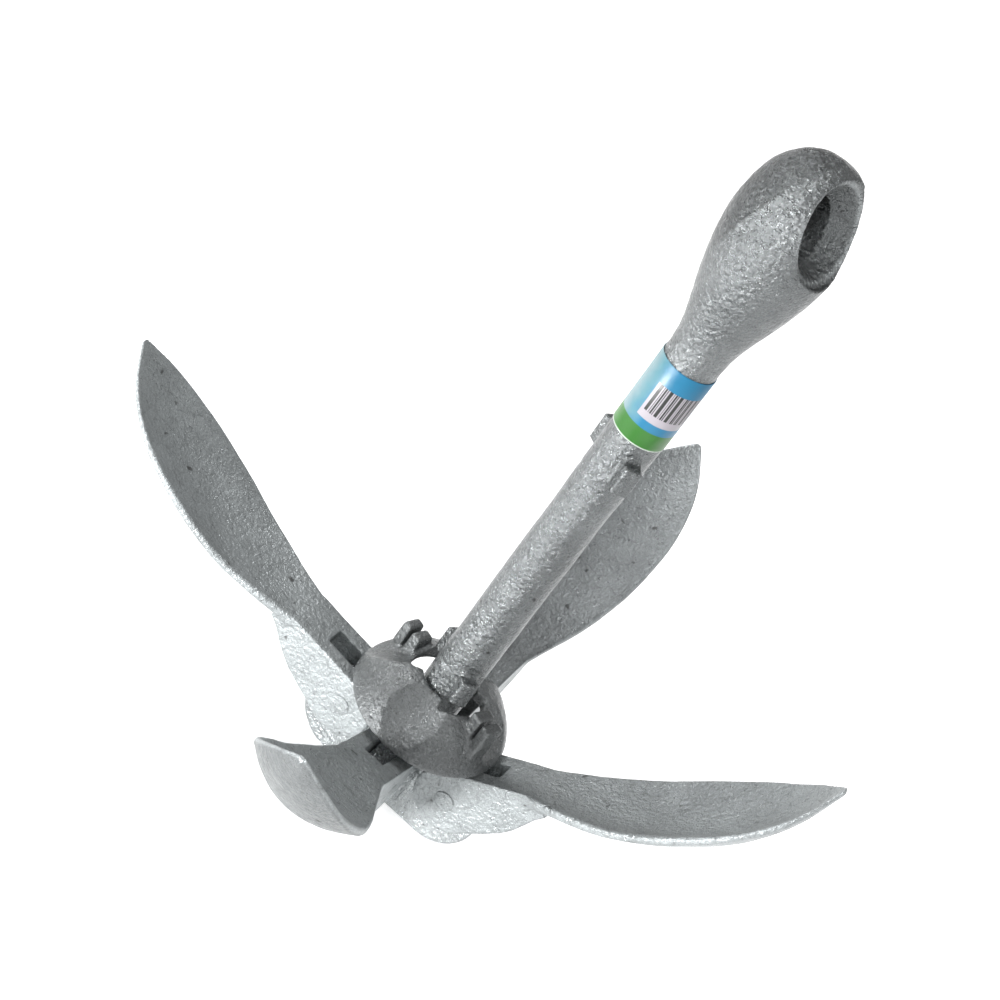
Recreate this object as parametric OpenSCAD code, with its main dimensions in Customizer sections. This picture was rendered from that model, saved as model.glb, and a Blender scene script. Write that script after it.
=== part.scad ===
// Folding grapnel boat anchor: a cast shank, four pinned flukes and a locking collar.
// Millimetres, +Z up along the shank. The origin is the middle of the crown's underside, on which the
// anchor stands. The heights below are measured from the plane of the four pivot pins, where the
// parts are drawn, and on_base() then lifts them. The flukes point left (-X), right (+X), front (-Y)
// and rear (+Y). The shank is one casting, drawn as three nodes: its eye, its rod and its crown.

/* [Shank] */
// radius of the rod from the crown up to the upper lugs
shank_r = 12; // [8:0.1:20]
// radius of the rod above the upper lugs, under the label
neck_r = 12.3; // [8:0.1:20]
// height where the rod steps up to the neck radius
neck_z = 184; // [120:1:260]
// height of the top of the eye
eye_top_z = 352; // [250:1:480]
// largest radius of the eye bulb
eye_r = 24.8; // [16:0.1:40]
// height of the middle of the rope hole
eye_hole_z = 326; // [220:1:440]
// radius of the rope hole
eye_hole_r = 11; // [6:0.5:18]
// radius of the dished mouth on the right side of the rope hole
eye_mouth_r = 19.2; // [12:0.1:24]
// distance of the middle of the dished mouth from the shank's axis
eye_mouth_x = 13.6; // [10:0.1:20]
// height of the middle of the dished mouth
eye_mouth_z = 329; // [220:1:440]
// how far the dished mouth looks upwards
eye_mouth_tilt = 21; // [0:1:40]
// distance of the rope hole's plain left end from the shank's axis
eye_far_x = 21.6; // [18:0.1:24]
// turn of the eye about the shank, from the left-right line
eye_turn = -15; // [-45:1:45]
// height where the rod ends and the eye starts
eye_z = 252; // [200:1:300]

/* [Lugs] */
// reach of the lugs from the shank's axis
lug_r = 18.5; // [14:0.5:26]
// direction of the lugs on the front of the shank
front_lug = -52; // [-90:1:0]
// direction of the lugs on the back of the shank
back_lug = 145; // [90:1:180]
// width of a lug across the shank
lug_w = 8; // [4:0.5:14]
// height of a lug along the shank
lug_h = 14; // [6:0.5:20]
// height of the middle of the lower lugs, which hold the collar down
lower_lug_z = 56; // [40:0.5:80]
// height of the middle of the upper lugs
upper_lug_z = 197; // [120:0.5:260]

/* [Crown] */
// distance of each pivot pin from the shank's axis
pivot_r = 34; // [26:0.5:50]
// thickness of a crown ear
ear_t = 9.8; // [6:0.1:16]
// radius of an ear's round outline
ear_r = 24.8; // [16:0.1:36]
// distance of the middle of an ear's outline from the shank's axis
ear_x = 28.4; // [18:0.1:40]
// height of the middle of an ear's outline
ear_z = -10.8; // [-20:0.1:0]
// radius of the crown's core between the flukes
core_r = 16; // [13:0.1:17]
// lowest point of the crown
crown_z = -36; // [-50:0.5:-25]

/* [Pins] */
// radius of a pivot pin
pin_r = 4.5; // [3:0.1:8]
// running clearance round a pin in a fluke's cheeks, on the radius
pin_gap = 0.08; // [0.02:0.01:0.1]

/* [Flukes] */
// direction of the left fluke, its pin and its ear
left = 182.3; // [170:0.1:190]
// direction of the right fluke, its pin and its ear
right = -0.2; // [-10:0.1:10]
// direction of the front fluke, its pin and its ear
front = 270.8; // [260:0.1:280]
// direction of the rear fluke, its pin and its ear
rear = 89.2; // [80:0.1:100]
// width of the fork at a fluke's root, over both cheeks
fork_w = 27; // [20:0.5:40]
// width of the slot between the cheeks
slot_w = 10.8; // [8:0.1:18]
// distance from the pin to the closed end of the slot
slot_end = 25.5; // [24:0.5:36]
// radius of the cheeks round the pin
cheek_r = 17; // [12:0.5:24]
// height of the root's flat face above the pin
root_top = 16.6; // [10:0.1:22]
// slope of the left fluke's root above the level of the pins
left_rise = 7.7; // [0:0.1:45]
// slope of the right fluke's root above the level of the pins
right_rise = 33.5; // [0:0.1:45]
// slope of the front fluke's root above the level of the pins
front_rise = 24.7; // [0:0.1:45]
// slope of the rear fluke's root above the level of the pins
rear_rise = 24; // [0:0.1:45]

/* [Collar] */
// radius of the collar's centre hole
collar_hole_r = 13.6; // [12.7:0.1:18]
// radius of the collar's rim
collar_r = 41; // [38:0.5:60]
// height of the rim, just over the flukes' roots
rim_z = 24.9; // [24:0.1:32]
// width of the rim's flat edge
rim_w = 5.5; // [3:0.5:8]
// height of the collar's top round the hole
collar_top = 46.5; // [36:0.5:60]
// radius of the hollow valley over each fluke
valley_r = 26; // [15:1:50]
// reach of the keyways from the shank's axis
key_r = 19.6; // [18.5:0.1:24]
// middle of the front keyway, through which the front lugs pass
front_key = -23; // [-60:1:30]
// middle of the back keyway, through which the back lugs pass
back_key = 168; // [120:1:210]
// half of the front keyway's angle
front_key_half = 48; // [16:1:60]
// half of the back keyway's angle
back_key_half = 41; // [16:1:60]
// direction of the two teeth beyond the front keyway
front_tooth = -22; // [-60:1:30]
// direction of the two teeth beyond the back keyway
back_tooth = 162; // [120:1:210]
// width of a tooth
tooth_w = 10; // [4:0.5:20]
// height of the top of the front teeth
front_tooth_top = 53; // [44:0.5:60]
// height of the top of the back teeth
back_tooth_top = 48.5; // [44:0.5:60]

/* [Label] */
// height of the label's lower edge
label_z = 212; // [150:1:300]
// length of the label along the shank
label_h = 38.5; // [10:0.5:80]
// thickness of the label
label_t = 0.3; // [0.1:0.1:1]

/* [Hidden] */

// Stations along a blade: distance from the pin, half width, height of the rims above the pin,
// depth of the hollow between the rims, thickness along the middle.
blade = [[27, 13.4, 16.6, 0.0, 18.0], [40, 13.4, 16.6, 0.1, 13.5], [52, 16.0, 16.4, 0.9, 9.5],
         [68, 20.1, 16.6, 2.6, 7.6], [88, 24.4, 18.4, 4.4, 7.0], [107, 26.6, 22.6, 6.6, 7.0],
         [128, 26.9, 28.6, 8.3, 6.6], [147, 24.9, 34.6, 8.2, 6.0], [163, 19.8, 40.8, 5.8, 5.0],
         [175, 13.0, 47.2, 3.2, 4.2], [187, 1.6, 55.4, 0.3, 3.0]];
blade_steps = 30;
blade_cuts = 12;

// Outline of the eye bulb above the neck: how far up it, and the radius there.
bulb = [[254, neck_r], [264, 13.2], [276, 16.4], [290, 20.6], [304, eye_r - 1.2], [315, eye_r],
        [326, eye_r - 0.4], [336, 22], [344, 17], [349.5, 10], [eye_top_z, 0]];
bulb_steps = 40;

// Half outline of the collar's dome, and of the hollow under it.
dome_outer = [[0, collar_top], [14.5, collar_top], [20, collar_top - 0.6], [26, collar_top - 3.2],
              [30, collar_top - 5.6], [34, collar_top - 9.6], [37.2, collar_top - 14],
              [39.6, collar_top - 18.4], [collar_r, rim_z], [0, rim_z]];
dome_inner = [[0, collar_top - 6], [15, collar_top - 6], [20, collar_top - 8.5], [26, collar_top - 13.5],
              [31, collar_top - 18], [collar_r - rim_w, rim_z], [collar_r - rim_w, rim_z - 1],
              [0, rim_z - 1]];
valley_x = 14;
teeth = [[22.5, 29], [30.3, 36]];
tooth_z = 34;
core_top = 27;

iron = [0.62, 0.64, 0.66];
iron_dark = [0.5, 0.52, 0.54];
paper = [0.35, 0.65, 0.85];

// Value of column c of a station table at x, on a smooth curve through the stations.
function span(table, x, i = 0) =
    i >= len(table) - 2 || x < table[i + 1][0] ? i : span(table, x, i + 1);
function slope(table, c, i) =
    let (a = table[max(i - 1, 0)], b = table[min(i + 1, len(table) - 1)]) (b[c] - a[c]) / (b[0] - a[0]);
function along(table, c, x) =
    let (i = span(table, x), p = table[i], q = table[i + 1], h = q[0] - p[0], u = (x - p[0]) / h)
    p[c] * (1 + 2 * u) * (1 - u) * (1 - u) + q[c] * u * u * (3 - 2 * u)
    + slope(table, c, i) * h * u * (1 - u) * (1 - u) - slope(table, c, i + 1) * h * u * u * (1 - u);

module on_base() {
    translate([0, 0, -crown_z]) children();
}

// Solid through a stack of rings, each an upper line and a lower line of c + 1 points that meet at
// the sides. The ends are closed by strips from the upper line to the lower one.
module ribbed_solid(rings, c) {
    n = 2 * (c + 1);
    top = (len(rings) - 1) * n;
    polyhedron([for (ring = rings) each ring], concat(
        [for (i = [0 : len(rings) - 2]) for (j = [0 : n - 1])
            let (a = i * n + j, b = i * n + (j + 1) % n) each [[a, b + n, b], [a, a + n, b + n]]],
        [for (j = [0 : c - 1]) each [[j, j + 1, n - 2 - j], [j, n - 2 - j, n - 1 - j]]],
        [for (j = [0 : c - 1]) each [[top + j, top + n - 2 - j, top + j + 1],
                                     [top + j, top + n - 1 - j, top + n - 2 - j]]]), convexity = 8);
}

// One cross-section of a blade: over the hollow face, then back along the convex face.
function blade_ring(x) =
    let (w = along(blade, 1, x), rim = along(blade, 2, x), hollow = along(blade, 3, x),
         t = along(blade, 4, x), edge = min(t * 0.5, 3.4))
    concat(
        [for (i = [0 : blade_cuts]) let (s = 1 - 2 * i / blade_cuts)
            [x, w * s, rim - hollow * (1 - s * s)]],
        [for (i = [0 : blade_cuts]) let (s = -1 + 2 * i / blade_cuts)
            [x, w * s * 0.985, rim - hollow * (1 - s * s) - edge - (t - edge) * sqrt(max(1 - s * s, 0))]]);

module blade_solid() {
    first = blade[0][0];
    last = blade[len(blade) - 1][0];
    ribbed_solid([for (i = [0 : blade_steps]) blade_ring(first + (last - first) * i / blade_steps)],
                 blade_cuts);
}

// Side view of a fluke's root: round the pin, flat on top, tapering into the blade's back.
module cheek_outline() {
    circle(r = cheek_r, $fn = 96);
    polygon([[0, root_top], [54, root_top], [54, 7.4], [48, 4.2], [42, -0.6], [36, -5.2], [30, -8.4],
             [22, -11.2], [5, -16.25]]);
}

module fluke_at(azimuth, rise) {
    color(iron) on_base() rotate([0, 0, azimuth]) translate([pivot_r, 0, 0]) rotate([0, -rise, 0])
    difference() {
        union() {
            rotate([90, 0, 0]) linear_extrude(height = fork_w, center = true) cheek_outline();
            blade_solid();
        }
        translate([slot_end / 2 - 20, 0, 0]) cube([slot_end + 40, slot_w, 60], center = true);
        rotate([90, 0, 0]) cylinder(r = pin_r + pin_gap, h = fork_w + 2, center = true, $fn = 64);
    }
}

module fluke_left() { fluke_at(left, left_rise); }
module fluke_right() { fluke_at(right, right_rise); }
module fluke_front() { fluke_at(front, front_rise); }
module fluke_rear() { fluke_at(rear, rear_rise); }

module pin_at(azimuth) {
    color(iron_dark) on_base() rotate([0, 0, azimuth]) translate([pivot_r, 0, 0]) rotate([90, 0, 0])
        cylinder(r = pin_r, h = fork_w, center = true, $fn = 64);
}

module pin_left() { pin_at(left); }
module pin_right() { pin_at(right); }
module pin_front() { pin_at(front); }
module pin_rear() { pin_at(rear); }

// A lug in front and one behind, with their ends rounded to the reach.
module lugs(z) {
    for (azimuth = [front_lug, back_lug])
        translate([0, 0, z]) rotate([0, 0, azimuth]) intersection() {
            translate([lug_r / 2, 0, 0]) cube([lug_r + 1, lug_w, lug_h], center = true);
            cylinder(r = lug_r, h = lug_h, center = true, $fn = 96);
        }
}

// Rope hole through the eye, with a dished mouth on the right and a plain rounded end on the left.
module eye_cuts() {
    rotate([0, 90, 0]) cylinder(r = eye_hole_r, h = 2 * eye_r + 4, center = true, $fn = 96);
    translate([eye_mouth_x, 0, eye_mouth_z - eye_hole_z]) rotate([0, 90 - eye_mouth_tilt, 0])
        rotate_extrude($fn = 96)
            polygon([[0, -8], [eye_mouth_r - 7.2, -8], [eye_mouth_r - 5, -5.8], [eye_mouth_r - 2.4, -3],
                     [eye_mouth_r - 0.6, -0.9], [eye_mouth_r, 0], [eye_mouth_r + 2, 0.3],
                     [eye_mouth_r + 2, 16], [0, 16]]);
    translate([-eye_far_x, 0, 0]) rotate([0, -90, 0]) rotate_extrude($fn = 96)
        polygon([[0, -2.5], [eye_hole_r, -2.5], [eye_hole_r + 0.5, -1], [eye_hole_r + 1.5, 0],
                 [eye_hole_r + 1.5, 6], [0, 6]]);
}

module crown_ear(azimuth) {
    rotate([0, 0, azimuth]) difference() {
        rotate([90, 0, 0]) linear_extrude(height = ear_t, center = true) {
            translate([ear_x, ear_z]) circle(r = ear_r, $fn = 96);
            polygon([[0, crown_z], [ear_x, crown_z + 0.4], [ear_x, 13.6], [14, 18], [0, 18]]);
        }
        translate([pivot_r, 0, 0]) rotate([90, 0, 0]) cylinder(r = pin_r, h = ear_t + 2, center = true, $fn = 64);
    }
}

module eye() {
    color(iron) on_base() difference() {
        rotate_extrude($fn = 96) polygon(concat(
            [[0, eye_z], [neck_r, eye_z]],
            [for (i = [0 : bulb_steps - 1]) let (z = 254 + (eye_top_z - 254) * i / bulb_steps)
                [along(bulb, 1, z), z]],
            [[0, eye_top_z]]));
        translate([0, 0, eye_hole_z]) rotate([0, 0, eye_turn]) eye_cuts();
    }
}

module rod() {
    color(iron) on_base() {
        rotate_extrude($fn = 96)
            polygon([[0, core_top], [shank_r, core_top], [shank_r, neck_z], [neck_r, neck_z + 2],
                     [neck_r, eye_z], [0, eye_z]]);
        lugs(lower_lug_z);
        lugs(upper_lug_z);
    }
}

module crown() {
    color(iron) on_base() {
        rotate_extrude($fn = 96)
            polygon([[0, crown_z], [10, crown_z], [core_r, -28], [core_r, 16], [shank_r, core_top],
                     [0, core_top]]);
        for (azimuth = [left, right, front, rear])
            crown_ear(azimuth);
    }
}

// A dome with a valley over each fluke, hollow beneath, with a flat rim. The lugs pass through its two
// keyways, which have a pair of teeth beyond each.
module collar() {
    fall = atan((collar_top - rim_z - 1) / (collar_r - valley_x));
    color(iron) on_base() difference() {
        union() {
            difference() {
                rotate_extrude($fn = 96) polygon(dome_outer);
                for (azimuth = [0 : 90 : 270])
                    rotate([0, 0, azimuth]) translate([valley_x, 0, collar_top])
                        rotate([0, 90 + fall, 0]) translate([-valley_r, 0, -2])
                            cylinder(r = valley_r, h = collar_r, $fn = 96);
            }
            for (place = [[front_tooth, front_tooth_top], [back_tooth, back_tooth_top]])
                for (reach = teeth)
                    rotate([0, 0, place[0]]) translate([reach[0], -tooth_w / 2, tooth_z])
                        cube([reach[1] - reach[0], tooth_w, place[1] - tooth_z]);
        }
        rotate_extrude($fn = 96) polygon(dome_inner);
        translate([0, 0, rim_z - 1]) cylinder(r = collar_hole_r, h = 40, $fn = 96);
        for (key = [[front_key, front_key_half], [back_key, back_key_half]])
            rotate([0, 0, key[0] - key[1]]) rotate_extrude(angle = 2 * key[1], $fn = 96)
                translate([4, rim_z - 1]) square([key_r - 4, 38]);
    }
}

module label() {
    color(paper) on_base() translate([0, 0, label_z]) difference() {
        cylinder(r = neck_r + label_t, h = label_h, $fn = 96);
        translate([0, 0, -1]) cylinder(r = neck_r, h = label_h + 2, $fn = 96);
    }
}

eye();
rod();
crown();
collar();
fluke_left();
fluke_right();
fluke_front();
fluke_rear();
pin_left();
pin_right();
pin_front();
pin_rear();
label();
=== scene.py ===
"""Looks of the folding grapnel anchor: cast zinc surfaces, the film label, floor, light and camera.

Shapes are drawn in millimetres. Heights are measured from the level of the pivot pins, and distances
along a fluke from its own pin. Voxels, surface waves, lamps and the camera are in the frame's metres.
"""
import math

import bmesh
import bpy
import numpy as np
from mathutils import Matrix, Vector, noise


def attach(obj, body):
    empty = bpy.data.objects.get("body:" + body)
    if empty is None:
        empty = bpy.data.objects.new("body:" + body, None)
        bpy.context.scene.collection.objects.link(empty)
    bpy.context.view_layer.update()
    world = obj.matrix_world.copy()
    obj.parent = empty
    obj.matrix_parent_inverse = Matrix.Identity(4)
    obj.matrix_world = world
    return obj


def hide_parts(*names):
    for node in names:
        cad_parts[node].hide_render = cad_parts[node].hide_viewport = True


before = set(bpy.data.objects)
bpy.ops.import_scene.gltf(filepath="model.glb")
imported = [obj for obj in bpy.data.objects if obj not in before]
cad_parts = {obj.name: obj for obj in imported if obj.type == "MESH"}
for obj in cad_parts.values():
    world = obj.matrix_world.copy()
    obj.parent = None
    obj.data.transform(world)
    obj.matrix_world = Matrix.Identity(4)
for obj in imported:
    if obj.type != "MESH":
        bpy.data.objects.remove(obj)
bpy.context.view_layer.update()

# Pivot pins: height above the floor and distance from the shank's axis.
PIVOT_Z = 36.0
PIVOT_R = 34.0
# Each fluke's direction round the shank and its rise above level, in degrees.
FLUKES = {"left": (182.3, 7.7), "right": (-0.2, 33.5), "front": (270.8, 24.7), "rear": (89.2, 24.0)}
# Painted shade on each fluke's zinc, set fluke by fluke for how light falls on it: in the hollow and on the
# convex back of its blade.
FLUKE_PAINTED_SHADE = {"left": (0.3, 0.0), "right": (0.6, 0.0), "front": (0.5, 0.95), "rear": (1.0, 0.4)}
# Fork of a fluke's root: half width, half width and end of its slot, radius round the pin.
FORK_HALF = 13.5
SLOT_HALF = 5.4
SLOT_END = 25.5
ROOT_R = 17
PIN_R = 4.5
BORE_R = 4.6
# Underside and top of the root where its slot ends.
ROOT_LOW = -9.9
ROOT_HIGH = 16.6

# Label: radius of the rod under it, lower and upper edge, top of the green band.
NECK_R = 12.3
LABEL_LOW = 212.0
LABEL_HIGH = 250.5
GREEN_TOP = 220.5
# White box on the label and the bars in it: from and to in degrees, then lower and upper edge.
BOX_TURNS = (-106.0, 0.0)
BOX_HEIGHTS = (224.5, 241.5)
BAR_TURNS = (-101.0, -5.0)
BAR_HEIGHTS = (228.0, 241.5)

# Along a blade: distance from the pin, half width, height of the rims, depth of the hollow, thickness.
BLADE = np.array([(27, 13.4, ROOT_HIGH, 0.0, 18.0), (40, 13.4, ROOT_HIGH, 0.1, 13.5),
                  (52, 16.0, 16.4, 0.9, 9.5), (68, 20.1, 16.6, 2.6, 7.6),
                  (88, 24.4, 18.4, 4.4, 7.0), (107, 26.6, 22.6, 6.6, 7.0),
                  (128, 26.9, 28.6, 8.3, 6.6), (147, 24.9, 34.6, 8.2, 6.0), (163, 19.8, 40.8, 5.8, 5.0),
                  (175, 13.0, 47.2, 3.2, 4.2), (187, 1.6, 55.4, 0.3, 3.0)])
# Side view of a fluke's root beyond its round end: distance from the pin and height.
ROOT_TAIL = [(30, -8.4), (36, -5.2), (42, -0.6), (48, 4.2), (54, 7.4), (44, 16.5)]
# Dished mouth of the rope hole: distance from the shank's axis, height, radius, turn and upward tilt.
MOUTH_X = 13.6
MOUTH_Z = 329.0
MOUTH_R = 19.2
MOUTH_TURN = -15.0
MOUTH_TILT = 21.0
# Raised parting seam on the eye bulb: height and direction.
SEAM = [(296, -140.0), (303, -133.8), (323, -116.9), (340.5, -106.4), (351, -99.0)]

CAMERA_AT = Vector((0.0906, -0.5972, 0.5868))
CAMERA_RIGHT = Vector((0.7338, 0.4797, 0.4810))
CAMERA_DOWN = Vector((0.6591, -0.3308, -0.6754))
CAMERA_LENS = 60.7
# Lamps: name, place, point aimed at, width and power.
LAMPS = [("key", (-0.7, -1.55, 0.12), (0, 0, 0.1), 0.4, 50),
         ("side", (-1.1, 0.35, 1.3), (0, 0, 0.12), 0.35, 16),
         ("top", (1.0, -0.35, 1.25), (0, 0, 0.12), 0.4, 6)]
WORLD_STRENGTH = 0.45
FLOOR_SIZE = 30.0


# ---------------------------------------------------------------- materials

def new_material(name):
    """An empty node material with its shader."""
    material = bpy.data.materials.new(name)
    material.use_nodes = True
    tree = material.node_tree
    tree.nodes.clear()
    output = tree.nodes.new("ShaderNodeOutputMaterial")
    shader = tree.nodes.new("ShaderNodeBsdfPrincipled")
    tree.links.new(shader.outputs["BSDF"], output.inputs["Surface"])
    return material, tree, shader


def add(tree, kind, inputs=None, **settings):
    """Adds a node, sets its fields, and links or sets its inputs."""
    node = tree.nodes.new(kind)
    for key, value in settings.items():
        setattr(node, key, value)
    for key, value in (inputs or {}).items():
        if isinstance(value, bpy.types.NodeSocket):
            tree.links.new(value, node.inputs[key])
        else:
            node.inputs[key].default_value = value
    return node


def ramp(tree, factor, stops, interpolation="LINEAR"):
    """A colour ramp over (position, colour) stops."""
    node = add(tree, "ShaderNodeValToRGB", {"Fac": factor})
    node.color_ramp.interpolation = interpolation
    elements = node.color_ramp.elements
    while len(elements) < len(stops):
        elements.new(0.5)
    for element, (position, colour) in zip(elements, stops):
        element.position = position
        element.color = (*colour, 1.0)
    return node.outputs["Color"]


def math_node(tree, operation, a, b=0.0):
    """The result of a calculation on one or two values."""
    return add(tree, "ShaderNodeMath", {0: a, 1: b}, operation=operation).outputs[0]


def mix_colour(tree, kind, amount, a, b):
    """Two colours blended by an amount. In a colour mix, inputs 6 and 7 are the colours, 0 the amount."""
    node = add(tree, "ShaderNodeMix", {0: amount, 6: a, 7: b}, data_type="RGBA", blend_type=kind)
    return node.outputs[2]


def band(tree, value, low, high):
    """1 where the value lies between low and high, else 0."""
    above = math_node(tree, "GREATER_THAN", value, low)
    below = math_node(tree, "LESS_THAN", value, high)
    return math_node(tree, "MULTIPLY", above, below)


def grey(level):
    """A very slightly cold grey, as zinc has."""
    return (level * 0.98, level, level * 1.005)


def clouds(tree, place, scale, detail=2.0, roughness=0.5):
    """Soft noise of a given scale, between 0 and 1."""
    fields = {"Vector": place, "Scale": scale, "Detail": detail, "Roughness": roughness}
    return add(tree, "ShaderNodeTexNoise", fields).outputs["Fac"]


def raise_bumps(tree, shader, height, strength, distance):
    """Lets a height pattern bend the shading."""
    bump = add(tree, "ShaderNodeBump", {"Height": height, "Strength": strength, "Distance": distance})
    tree.links.new(bump.outputs["Normal"], shader.inputs["Normal"])


def fine_cracks(tree, place):
    """A net of slightly darker lines along the borders of bent cells."""
    wander = add(tree, "ShaderNodeTexNoise", {"Vector": place, "Scale": 90.0}).outputs["Color"]
    bent = add(tree, "ShaderNodeMix", {0: 0.012, 4: place, 5: wander}, data_type="VECTOR").outputs[1]
    cells = add(tree, "ShaderNodeTexVoronoi", {"Vector": bent, "Scale": 95.0}, feature="DISTANCE_TO_EDGE")
    return ramp(tree, cells.outputs["Distance"], [(0.0, grey(0.62)), (0.035, grey(1.0))])


def zinc(name, bright, shaded, peel, rough, crack=0.0, metallic=0.55):
    """Hot-dip zinc on a rough casting: mottled greys, orange peel, fine cracks, dark pits.

    A vertex attribute of painted light and shade mixes the greys: where it is 1 the zinc takes the shaded
    grey as painted shade, and where it is 0 or not given the bright one.
    """
    material, tree, shader = new_material(name)
    place = add(tree, "ShaderNodeTexCoord").outputs["Object"]
    painted_shading = add(tree, "ShaderNodeAttribute", attribute_name="painted_shading").outputs["Fac"]

    patches = clouds(tree, place, 42.0, 4.0, 0.55)
    grain = clouds(tree, place, 330.0, 3.0, 0.6)
    orange_peel = clouds(tree, place, 500.0)
    fine = clouds(tree, place, 2000.0, 2.0, 0.6)
    spots = clouds(tree, place, 170.0, 2.0, 0.45)

    # Painted light and shade: each vertex's attribute mixes the bright and the shaded grey.
    level = mix_colour(tree, "MIX", painted_shading, (*grey(bright), 1.0), (*grey(shaded), 1.0))
    mottle = ramp(tree, patches, [(0.3, grey(0.84)), (0.5, grey(0.98)), (0.72, grey(1.14))])
    speckle = ramp(tree, fine, [(0.34, grey(0.7)), (0.5, grey(0.98)), (0.66, grey(1.25))])
    pits = ramp(tree, spots, [(0.24, (0.2, 0.19, 0.18)), (0.3, (1.0, 1.0, 1.0))])
    colour = mix_colour(tree, "MULTIPLY", 1.0, level, mottle)
    colour = mix_colour(tree, "MULTIPLY", 0.7, colour, speckle)
    colour = mix_colour(tree, "MULTIPLY", crack, colour, fine_cracks(tree, place))
    colour = mix_colour(tree, "MULTIPLY", 0.85, colour, pits)
    tree.links.new(colour, shader.inputs["Base Color"])

    shine = add(tree, "ShaderNodeMapRange", {"Value": grain, "From Min": 0.3, "From Max": 0.7,
                                             "To Min": rough + 0.16, "To Max": rough - 0.12})
    tree.links.new(shine.outputs["Result"], shader.inputs["Roughness"])
    shader.inputs["Metallic"].default_value = metallic
    height = math_node(tree, "ADD", orange_peel, math_node(tree, "MULTIPLY", fine, 0.25))
    raise_bumps(tree, shader, height, strength=peel, distance=0.0012)
    return material


def film(name):
    """Printed film: white edge, green band, blue with a pale side that is a painted sheen, and a white box of
    dark bars.
    """
    material, tree, shader = new_material(name)
    place = add(tree, "ShaderNodeTexCoord").outputs["Object"]
    axes = add(tree, "ShaderNodeSeparateXYZ", {"Vector": place}).outputs
    up = math_node(tree, "SUBTRACT", math_node(tree, "MULTIPLY", axes["Z"], 1000.0), PIVOT_Z)
    turn = math_node(tree, "DEGREES", math_node(tree, "ARCTAN2", axes["Y"], axes["X"]))

    # Painted sheen: the blue is painted paler towards one side of the rod.
    painted_sheen = add(tree, "ShaderNodeMapRange", {"Value": turn, "From Min": -150.0, "From Max": -60.0})
    haze = clouds(tree, place, 130.0, 3.0)
    side = math_node(tree, "ADD", painted_sheen.outputs["Result"], math_node(tree, "MULTIPLY", haze, 0.5))
    blue = ramp(tree, side, [(0.3, (0.15, 0.23, 0.25)), (0.6, (0.08, 0.2, 0.24)), (0.95, (0.01, 0.14, 0.26))])
    heights = add(tree, "ShaderNodeMapRange", {"Value": up, "From Min": LABEL_LOW, "From Max": LABEL_HIGH})
    edge = 0.5 / (LABEL_HIGH - LABEL_LOW)
    edge_and_green = [(0.0, (0.4, 0.45, 0.4)), (edge, (0.022, 0.125, 0.012))]
    lower = ramp(tree, heights.outputs["Result"], edge_and_green, "CONSTANT")
    colour = mix_colour(tree, "MIX", math_node(tree, "GREATER_THAN", up, GREEN_TOP), lower, blue)

    box = math_node(tree, "MULTIPLY", band(tree, turn, *BOX_TURNS), band(tree, up, *BOX_HEIGHTS))
    colour = mix_colour(tree, "MIX", box, colour, (0.33, 0.31, 0.34, 1.0))
    waves = [math_node(tree, "SINE", math_node(tree, "MULTIPLY", turn, rate)) for rate in (1.45, 0.57)]
    dark = math_node(tree, "GREATER_THAN", math_node(tree, "ADD", *waves), -0.1)
    inside = math_node(tree, "MULTIPLY", band(tree, turn, *BAR_TURNS), band(tree, up, *BAR_HEIGHTS))
    bars = math_node(tree, "MULTIPLY", dark, inside)
    colour = mix_colour(tree, "MIX", bars, colour, (0.015, 0.017, 0.015, 1.0))
    tree.links.new(colour, shader.inputs["Base Color"])

    gloss = add(tree, "ShaderNodeMapRange", {"Value": haze, "To Min": 0.28, "To Max": 0.48})
    tree.links.new(gloss.outputs["Result"], shader.inputs["Roughness"])
    raise_bumps(tree, shader, clouds(tree, place, 220.0), strength=0.25, distance=0.0006)
    return material


def plain(name, colour, rough, glow):
    """A matt studio surface with a barely visible grain, which glows a little like a light table."""
    material, tree, shader = new_material(name)
    place = add(tree, "ShaderNodeTexCoord").outputs["Object"]
    darker = tuple(channel * 0.985 for channel in colour)
    grain = ramp(tree, clouds(tree, place, 60.0, 3.0), [(0.3, darker), (0.7, colour)])
    tree.links.new(grain, shader.inputs["Base Color"])
    shader.inputs["Roughness"].default_value = rough
    shader.inputs["Emission Color"].default_value = (1.0, 1.0, 1.0, 1.0)
    shader.inputs["Emission Strength"].default_value = glow
    return material


# ---------------------------------------------------------------- meshes

def to_metres(turn=Matrix.Identity(4)):
    """From millimetres above the pivot pins to the frame, turned or moved on the way."""
    return Matrix.Translation((0, 0, PIVOT_Z / 1000.0)) @ turn @ Matrix.Scale(0.001, 4)


def skin(build, rings, loop=False):
    """Faces between successive closed rings of points, with the two ends capped unless they join."""
    rows = [[build.verts.new(point) for point in ring] for ring in rings]
    pairs = list(zip(rows, rows[1:]))
    if loop:
        pairs.append((rows[-1], rows[0]))
    for row, after in pairs:
        for i in range(len(row)):
            j = (i + 1) % len(row)
            build.faces.new((row[i], row[j], after[j], after[i]))
    if not loop:
        build.faces.new(rows[0][::-1])
        build.faces.new(rows[-1])


def new_object(name, build, place=None):
    """An object from a bmesh, placed and with its normals facing out."""
    if place is not None:
        bmesh.ops.transform(build, matrix=place, verts=build.verts)
    bmesh.ops.recalc_face_normals(build, faces=build.faces)
    mesh = bpy.data.meshes.new(name)
    build.to_mesh(mesh)
    build.free()
    piece = bpy.data.objects.new(name, mesh)
    bpy.context.scene.collection.objects.link(piece)
    return piece


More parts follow.
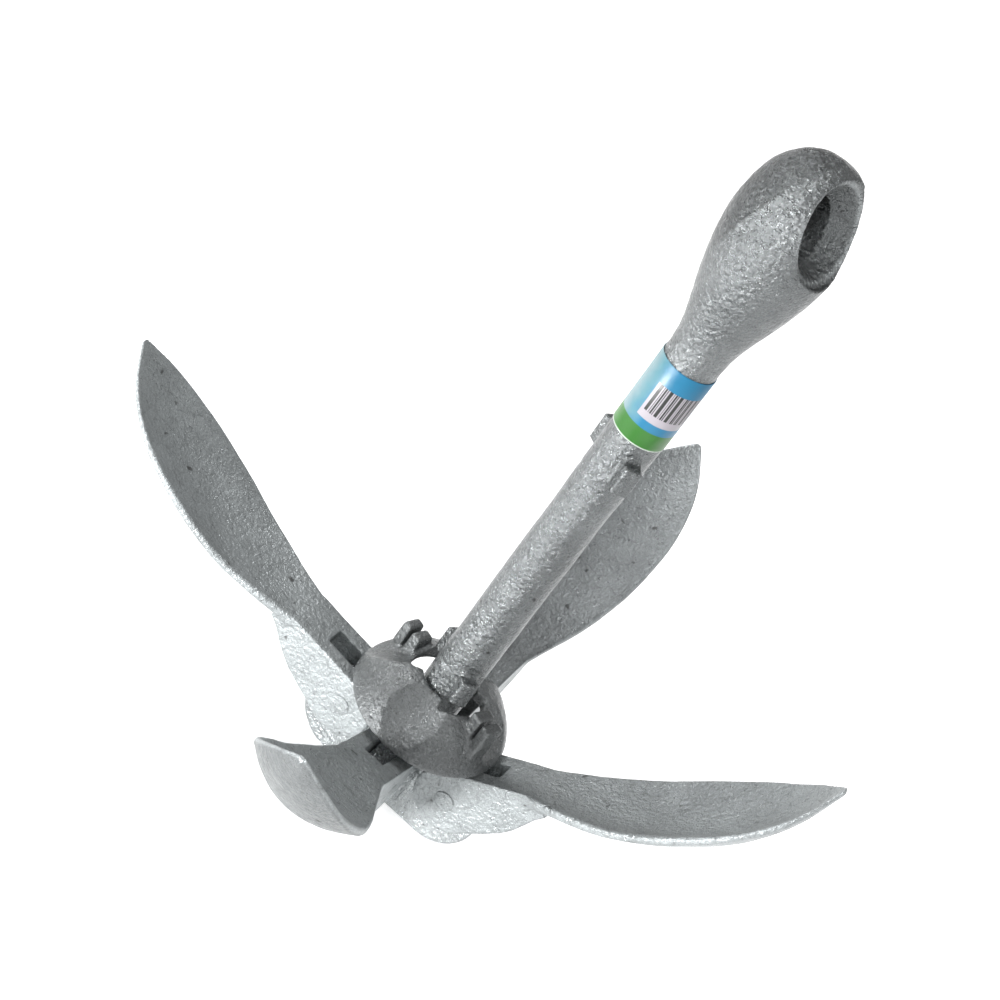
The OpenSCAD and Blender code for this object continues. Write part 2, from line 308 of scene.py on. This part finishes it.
def fuse(piece, voxel, rounding):
    """Merges the object's overlapping solids into one skin, with edges rounded as in a sand mould."""
    remesh = piece.modifiers.new("skin", "REMESH")
    remesh.mode = "VOXEL"
    remesh.voxel_size = voxel
    smooth = piece.modifiers.new("rounding", "SMOOTH")
    smooth.factor = 0.5
    smooth.iterations = rounding
    graph = bpy.context.evaluated_depsgraph_get()
    mesh = bpy.data.meshes.new_from_object(piece.evaluated_get(graph))
    piece.modifiers.clear()
    piece.data = mesh


def read(mesh, field):
    """One row of three values for each vertex: its place ("co") or its normal."""
    values = np.empty(len(mesh.vertices) * 3)
    mesh.vertices.foreach_get(field, values)
    return values.reshape(-1, 3)


def roughen(mesh, wave, extra=None, calm=None):
    """Moves the skin along its normals by sand-mould waves, plus an extra lift, less where it is calm."""
    places = read(mesh, "co")
    points = [Vector(place) for place in places]
    lift = np.array([noise.noise(point * 58.0) + 0.45 * noise.noise(point * 210.0) for point in points])
    lift *= wave
    if calm is not None:
        lift *= calm(places)
    if extra is not None:
        lift += extra(places)
    mesh.vertices.foreach_set("co", (places + read(mesh, "normal") * lift[:, None]).ravel())
    mesh.update()


def height_of(places):
    """Millimetres above the pivot pins."""
    return places[:, 2] * 1000 - PIVOT_Z


def set_painted_shading(mesh, values):
    """Gives each vertex its painted light and shade, which the zinc material reads."""
    painted_shading = mesh.attributes.new("painted_shading", "FLOAT", "POINT")
    painted_shading.data.foreach_set("value", values)


def finish_piece(piece, body, material, nodes):
    """Gives a piece smooth shading and its material, hides the CAD nodes it replaces, and ties it to its
    body.
    """
    piece.data.shade_smooth()
    piece.data.materials.clear()
    piece.data.materials.append(material)
    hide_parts(*nodes)
    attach(piece, body)


def copy_of(name, nodes):
    """One object with copies of the CAD nodes' meshes."""
    build = bmesh.new()
    for node in nodes:
        build.from_mesh(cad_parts[node].data)
    return new_object(name, build)


# ---------------------------------------------------------------- flukes

def along(column, x):
    """A station column at x, on a smooth curve through the stations."""
    xs = BLADE[:, 0]
    values = BLADE[:, column]
    i = int(np.clip(np.searchsorted(xs, x, side="right") - 1, 0, len(xs) - 2))
    before = max(i - 1, 0)
    after = min(i + 2, len(xs) - 1)
    step = xs[i + 1] - xs[i]
    start = (values[i + 1] - values[before]) / (xs[i + 1] - xs[before]) * step
    end = (values[after] - values[i]) / (xs[after] - xs[i]) * step
    u = (x - xs[i]) / step
    return (values[i] * (1 + 2 * u) * (1 - u) ** 2 + values[i + 1] * u * u * (3 - 2 * u)
            + start * u * (1 - u) ** 2 - end * u * u * (1 - u))


def blade_ring(x):
    """One cross-section of a blade: over the hollow, round a rim, back under it, round the other rim."""
    half, rim, hollow, thick = (along(column, x) for column in (1, 2, 3, 4))
    edge = min(thick * 0.5, 3.4)
    inner = half - edge / 2
    sides = np.linspace(inner, -inner, 23)
    shape = 1 - (sides / half) ** 2
    top = rim - hollow * shape
    low = top - edge - (thick - edge) * np.sqrt(shape)
    middle = (top[0] + low[0]) / 2
    tall = (top[0] - low[0]) / 2
    turns = np.radians(np.linspace(90, -90, 9))[1:-1]
    far = [(x, -inner - edge / 2 * math.cos(t), middle + tall * math.sin(t)) for t in turns]
    near = [(x, inner + edge / 2 * math.cos(t), middle - tall * math.sin(t)) for t in turns]
    over = list(zip(np.full(len(sides), x), sides, top))
    under = list(zip(np.full(len(sides), x), sides[::-1], low[::-1]))
    return over + far + under + near


def root_outline():
    """Side view of a root: round the pin, then along its tail, in short steps."""
    turns = np.radians(np.linspace(102.4, 286.0, 60))
    corners = [(ROOT_R * math.cos(t), ROOT_R * math.sin(t)) for t in turns]
    corners += [(22, -11.2)] + ROOT_TAIL
    outline = []
    for (x0, z0), (x1, z1) in zip(corners, corners[1:] + corners[:1]):
        steps = max(1, round(math.hypot(x1 - x0, z1 - z0) / 1.5))
        outline += [(x0 + (x1 - x0) * i / steps, z0 + (z1 - z0) * i / steps) for i in range(steps)]
    return outline


def fluke_painted_shading(mesh, hollow, back):
    """Painted shade over a level fluke: in the hollow of its blade, less on the rims as a painted highlight,
    and on its back.
    """
    normals = read(mesh, "normal")
    places = read(mesh, "co") * 1000
    half = np.array([along(1, x) for x in np.clip(places[:, 0], BLADE[0, 0], BLADE[-1, 0])])
    # Painted highlight: near the blade's rims the shade is lighter.
    rim = np.clip((half - np.abs(places[:, 1]) - 0.5) / 1.5, 0.25, 1)
    upward = np.clip((normals[:, 2] - 0.15) / 0.45, 0, 1)
    downward = np.clip((-normals[:, 2] - 0.05) / 0.3, 0, 1)
    on_blade = np.clip((places[:, 0] - 40) / 30, 0, 1)
    return upward * np.where(places[:, 0] > 60, rim, 1) * hollow + downward * on_blade * back


def fluke_piece(side, material):
    """A fluke: a spoon blade and a forked root, fused into one casting."""
    azimuth, rise = FLUKES[side]
    build = bmesh.new()
    skin(build, [blade_ring(x) for x in np.linspace(BLADE[0, 0], BLADE[-1, 0], 140)])
    outline = root_outline()
    bore = [(BORE_R * x / math.hypot(x, z), BORE_R * z / math.hypot(x, z)) for x, z in outline]
    for y0, y1 in ((SLOT_HALF, FORK_HALF), (-FORK_HALF, -SLOT_HALF)):
        shells = [(outline, y0), (outline, y1), (bore, y1), (bore, y0)]
        skin(build, [[(x, y, z) for x, z in line] for line, y in shells], loop=True)
    neck = [(SLOT_END, ROOT_HIGH), (SLOT_END, ROOT_LOW)] + ROOT_TAIL
    skin(build, [[(x, y, z) for x, z in neck] for y in (-SLOT_HALF - 2, SLOT_HALF + 2)])
    piece = new_object("fluke_" + side + "_casting", build, Matrix.Scale(0.001, 4))
    fuse(piece, voxel=0.0006, rounding=7)
    mesh = piece.data
    roughen(mesh, wave=0.00022)
    set_painted_shading(mesh, fluke_painted_shading(mesh, *FLUKE_PAINTED_SHADE[side]))
    turn = (Matrix.Rotation(math.radians(azimuth), 4, "Z") @ Matrix.Translation((PIVOT_R / 1000, 0, 0))
            @ Matrix.Rotation(math.radians(-rise), 4, "Y"))
    mesh.transform(Matrix.Translation((0, 0, PIVOT_Z / 1000)) @ turn)
    finish_piece(piece, "fluke_" + side, material, ["fluke_" + side])


def pin_piece(side, material):
    """A pivot pin peened over at both ends, so that its heads sit on the cheeks."""
    head = [(0.05, 0.3), (2.5, 0.28), (4.2, 0.2), (5.0, 0.1), (5.2, 0.04), (PIN_R, 0.0)]
    half = [(r, FORK_HALF + proud) for r, proud in head]
    profile = half + [(r, -y) for r, y in half[::-1]]
    turns = np.linspace(0, 2 * math.pi, 48, endpoint=False)
    build = bmesh.new()
    skin(build, [[(r * math.cos(t), y, r * math.sin(t)) for t in turns] for r, y in profile])
    turn = Matrix.Rotation(math.radians(FLUKES[side][0]), 4, "Z")
    place = to_metres(turn @ Matrix.Translation((PIVOT_R / 1000, 0, 0)))
    piece = new_object("pin_" + side + "_peened", build, place)
    finish_piece(piece, "shank", material, ["pin_" + side])


# ---------------------------------------------------------------- shank, collar, label

def lip_of(places):
    """1 on the lip of the dished mouth, which is painted bright as a highlight, and 0 away from it."""
    place = (Matrix.Translation((0, 0, PIVOT_Z)) @ Matrix.Rotation(math.radians(MOUTH_TURN), 4, "Z")
             @ Matrix.Translation((MOUTH_X, 0, MOUTH_Z)) @ Matrix.Rotation(math.radians(-MOUTH_TILT), 4, "Y"))
    back = np.array(place.inverted())
    local = places * 1000 @ back[:3, :3].T + back[:3, 3]
    off = np.hypot(np.hypot(local[:, 1], local[:, 2]) - MOUTH_R, local[:, 0])
    return np.exp(-(off / 1.1) ** 2)


def seam_offset(places):
    """How far round from the seam each point lies, in millimetres, and how strong the seam is there."""
    heights, ways = np.array(SEAM).T
    up = height_of(places)
    turn = np.degrees(np.arctan2(places[:, 1], places[:, 0]))
    off = (turn - np.interp(up, heights, ways) + 180) % 360 - 180
    reach = np.hypot(places[:, 0], places[:, 1]) * 1000
    return np.radians(off) * reach, np.clip((up - heights[0]) / 14, 0, 1)


def seam_ridge(places):
    """How far the parting seam stands proud of the bulb, in metres."""
    off, strength = seam_offset(places)
    return 0.0004 * np.exp(-(off / 0.9) ** 2) * strength


def calm_under_label(places):
    """How much of the roughness stays: little under the label, and all of it further off."""
    up = height_of(places)
    gap = np.maximum(LABEL_LOW - up, up - LABEL_HIGH)
    return np.clip(0.15 + gap / 8, 0.15, 1)


def shank_painted_shading(places):
    """Painted light and shade: the crown is painted bright, the rod and the eye darker, and one side of the
    seam darkest as painted shade; the mouth's lip is a painted highlight.
    """
    off, strength = seam_offset(places)
    # Painted shade on the side of the bulb past the parting seam.
    beside_seam = strength * np.clip(0.5 - off / 2, 0, 1) * np.clip(2.5 + off / 24, 0, 1)
    up = height_of(places)
    # The crown is painted bright, the rod and the eye darker.
    general = 0.66 * np.clip((up - 14) / 12, 0, 1) + 0.1 * np.clip((up - 260) / 40, 0, 1)
    painted_shading = general + (1 - general) * beside_seam
    return painted_shading * (1 - 0.8 * lip_of(places))


def shank_piece(material):
    """The shank casting: crown, rod and eye in one skin, with a raised parting seam up the bulb."""
    piece = copy_of("shank_casting", ["crown", "rod", "eye"])
    fuse(piece, voxel=0.0007, rounding=5)
    roughen(piece.data, wave=0.00026, extra=seam_ridge, calm=calm_under_label)
    set_painted_shading(piece.data, shank_painted_shading(read(piece.data, "co")))
    finish_piece(piece, "shank", material, ["crown", "rod", "eye"])


def collar_piece(material):
    """The locking collar, with edges rounded much more than those of the other castings."""
    piece = copy_of("collar_casting", ["collar"])
    fuse(piece, voxel=0.0006, rounding=36)
    roughen(piece.data, wave=0.00025)
    finish_piece(piece, "collar", material, ["collar"])


def label_piece(material):
    """The film wrapped round the rod, with softened edges."""
    inner = NECK_R + 0.04
    outer = NECK_R + 0.32
    profile = [(inner, LABEL_LOW), (outer - 0.08, LABEL_LOW), (outer, LABEL_LOW + 0.12),
               (outer, LABEL_HIGH - 0.12), (outer - 0.08, LABEL_HIGH), (inner, LABEL_HIGH)]
    turns = np.linspace(0, 2 * math.pi, 128, endpoint=False)
    build = bmesh.new()
    skin(build, [[(r * math.cos(t), r * math.sin(t), z) for t in turns] for r, z in profile], loop=True)
    piece = new_object("label_film", build, to_metres())
    finish_piece(piece, "shank", material, ["label"])


# ---------------------------------------------------------------- stage

def make_floor():
    """A wide pale floor that the anchor stands on."""
    build = bmesh.new()
    bmesh.ops.create_grid(build, x_segments=8, y_segments=8, size=FLOOR_SIZE)
    floor = new_object("floor", build)
    floor.data.materials.append(plain("floor_white", (0.92, 0.92, 0.92), rough=0.7, glow=0.65))


def soft_light(name, at, aim, size, power):
    """A round area lamp that faces a point."""
    data = bpy.data.lights.new(name, "AREA")
    data.shape = "DISK"
    data.size = size
    data.energy = power
    lamp = bpy.data.objects.new(name, data)
    lamp.location = at
    lamp.rotation_euler = (Vector(aim) - Vector(at)).to_track_quat("-Z", "Y").to_euler()
    bpy.context.scene.collection.objects.link(lamp)


def make_camera():
    """The camera, from its place and the directions to its right and below it."""
    data = bpy.data.cameras.new("camera")
    data.lens = CAMERA_LENS
    data.sensor_width = 36.0
    data.clip_start = 0.01
    right = CAMERA_RIGHT.normalized()
    up = -(CAMERA_DOWN - CAMERA_DOWN.dot(right) * right).normalized()
    back = right.cross(up)
    camera = bpy.data.objects.new("camera", data)
    turn = Matrix((right, up, back)).transposed()
    camera.matrix_world = Matrix.Translation(CAMERA_AT) @ turn.to_4x4()
    bpy.context.scene.collection.objects.link(camera)
    bpy.context.scene.camera = camera


def make_world():
    """Even white light from all round."""
    world = bpy.data.worlds.new("studio")
    bpy.context.scene.world = world
    world.use_nodes = True
    background = world.node_tree.nodes["Background"]
    background.inputs["Color"].default_value = (1.0, 1.0, 1.0, 1.0)
    background.inputs["Strength"].default_value = WORLD_STRENGTH


fluke_zinc = zinc("zinc_fluke", bright=0.38, shaded=0.17, peel=0.8, rough=0.36, crack=0.6)
shank_piece(zinc("zinc_shank", bright=0.42, shaded=0.1, peel=1.0, rough=0.25, metallic=0.9))
collar_piece(zinc("zinc_collar", bright=0.155, shaded=0.155, peel=0.7, rough=0.3))
label_piece(film("film_label"))
for side in FLUKES:
    fluke_piece(side, fluke_zinc)
    pin_piece(side, fluke_zinc)

make_floor()
make_camera()
make_world()
for lamp in LAMPS:
    soft_light(*lamp)
bpy.context.scene.view_settings.view_transform = "Standard"
